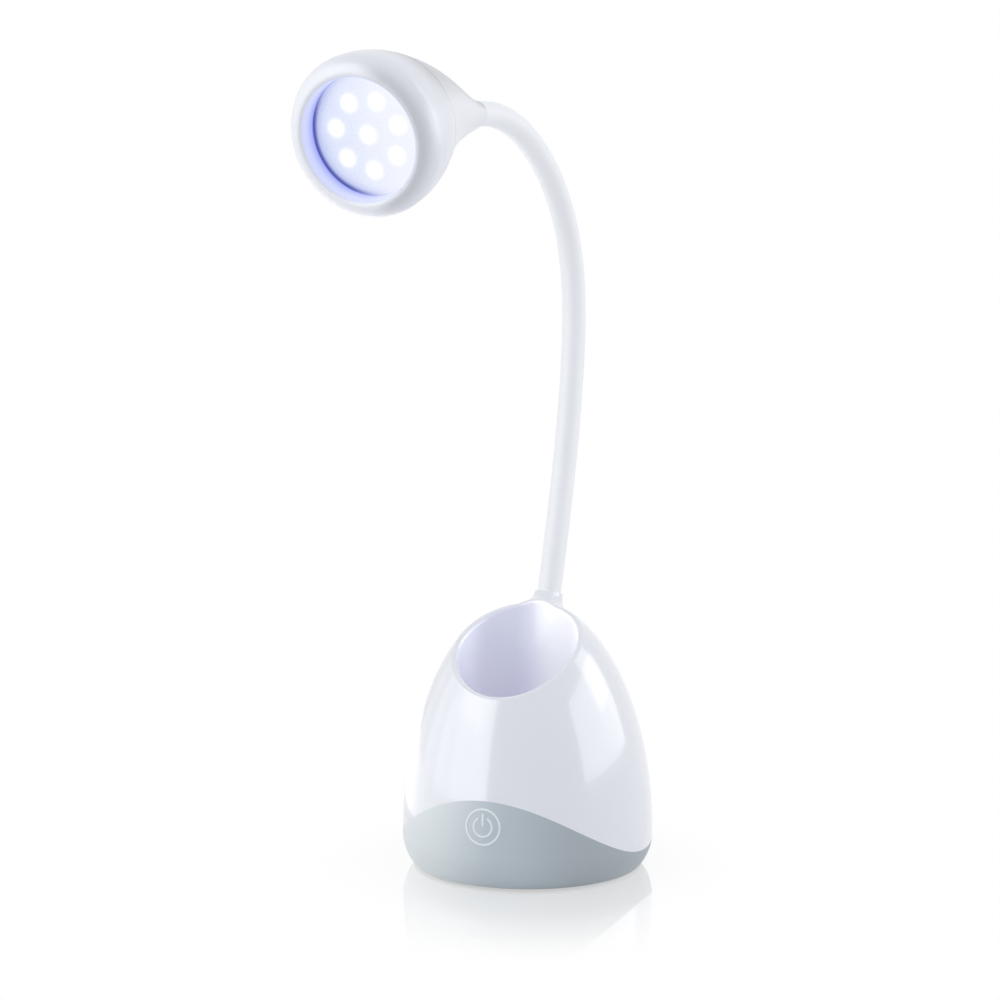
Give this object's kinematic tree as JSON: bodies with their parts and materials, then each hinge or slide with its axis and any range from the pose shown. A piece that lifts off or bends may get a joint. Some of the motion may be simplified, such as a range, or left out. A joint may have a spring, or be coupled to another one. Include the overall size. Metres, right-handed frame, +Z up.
{
  "type": "desk lamp",
  "caption": "Rechargeable LED desk lamp with a round head on a gooseneck and a domed base that has a slanted pen cup, a touch key and a charging socket.",
  "frame": {"origin": "middle of the foot pad's underside, on the desk", "axes": "+Z up, -Y to the front, where the touch key is, +X to the right seen from the front"},
  "size_m": [0.105, 0.1954, 0.3384],
  "materials": {
    "white_shell": "glossy moulded ABS",
    "grey_band": "satin bluish grey ABS",
    "black_cover": "plain moulded ABS",
    "foot_rubber": "matt foamed rubber",
    "steel": "zinc-plated",
    "spring_steel": "bright wire",
    "mark_print": "pale printed ink",
    "circuit_board": "green solder resist",
    "socket_metal": "nickel-plated",
    "cell_wrap": "shrunk film",
    "neck_silicone": "satin silicone",
    "neck_hose": "wound steel hose",
    "clear_lens": "polished",
    "light_board": "white solder resist",
    "led_dome": "frosted silicone dome",
    "heat_sink_metal": "turned"
  },
  "bodies": {
    "base": {"upper_housing": "white_shell", "lower_housing": "grey_band", "base_plate": "black_cover", "foot_pad": "foot_rubber", "ballast": "steel", "ballast_screws": "steel", "housing_screws": "steel", "power_mark": "mark_print", "touch_board": "circuit_board", "touch_spring": "spring_steel", "touch_screws": "steel", "control_board": "circuit_board", "control_screws": "steel", "power_inlet": "socket_metal", "battery": "cell_wrap", "battery_holder": "black_cover", "neck_nut": "steel", "neck_sleeve_1": "neck_silicone", "neck_core_1": "neck_hose"},
    "neck_2": {"neck_sleeve_2": "neck_silicone", "neck_core_2": "neck_hose"},
    "neck_3": {"neck_sleeve_3": "neck_silicone", "neck_core_3": "neck_hose"},
    "neck_4": {"neck_sleeve_4": "neck_silicone", "neck_core_4": "neck_hose"},
    "neck_5": {"neck_sleeve_5": "neck_silicone", "neck_core_5": "neck_hose"},
    "neck_6": {"neck_sleeve_6": "neck_silicone", "neck_core_6": "neck_hose"},
    "neck_7": {"neck_sleeve_7": "neck_silicone", "neck_core_7": "neck_hose"},
    "neck_8": {"neck_sleeve_8": "neck_silicone", "neck_core_8": "neck_hose"},
    "neck_9": {"neck_sleeve_9": "neck_silicone", "neck_core_9": "neck_hose"},
    "head": {"neck_sleeve_10": "neck_silicone", "neck_core_10": "neck_hose", "head_nut": "steel", "head_housing": "white_shell", "head_bezel": "white_shell", "lens": "clear_lens", "lens_spacer": "white_shell", "led_board": "light_board", "leds": "led_dome", "heat_sink": "heat_sink_metal"}
  },
  "joints": [
    {"name": "neck_bend_1", "type": "hinge", "parent": "base", "child": "neck_2", "pos_m": [0.00047, 0.02997, 0.12551], "axis": [0.9945, -0.1045, 0], "range_deg": [-25, 30]},
    {"name": "neck_sway_1", "type": "hinge", "parent": "neck_2", "child": "neck_3", "pos_m": [0.00126, 0.03749, 0.15313], "axis": [-0.1012, -0.9624, 0.2521], "range_deg": [-20, 20]},
    {"name": "neck_bend_2", "type": "hinge", "parent": "neck_3", "child": "neck_4", "pos_m": [0.00191, 0.0437, 0.18108], "axis": [0.9945, -0.1045, 0], "range_deg": [-25, 20]},
    {"name": "neck_sway_2", "type": "hinge", "parent": "neck_4", "child": "neck_5", "pos_m": [0.00236, 0.04796, 0.20939], "axis": [-0.1038, -0.9879, 0.1149], "range_deg": [-20, 20]},
    {"name": "neck_bend_3", "type": "hinge", "parent": "neck_5", "child": "neck_6", "pos_m": [0.00238, 0.04818, 0.23797], "axis": [0.9945, -0.1045, 0], "range_deg": [-25, 10]},
    {"name": "neck_sway_3", "type": "hinge", "parent": "neck_6", "child": "neck_7", "pos_m": [0.00154, 0.04016, 0.26528], "axis": [-0.093, -0.8845, -0.4571], "range_deg": [-20, 20]},
    {"name": "neck_bend_4", "type": "hinge", "parent": "neck_7", "child": "neck_8", "pos_m": [-0.00025, 0.02312, 0.28806], "axis": [0.9945, -0.1045, 0], "range_deg": [-25, 8]},
    {"name": "neck_sway_4", "type": "hinge", "parent": "neck_8", "child": "neck_9", "pos_m": [-0.0027, -0.00014, 0.30441], "axis": [-0.0468, -0.4453, -0.8942], "range_deg": [-20, 20]},
    {"name": "neck_bend_5", "type": "hinge", "parent": "neck_9", "child": "head", "pos_m": [-0.00555, -0.0273, 0.31252], "axis": [0.9945, -0.1045, 0], "range_deg": [-25, 10]}
  ]
}
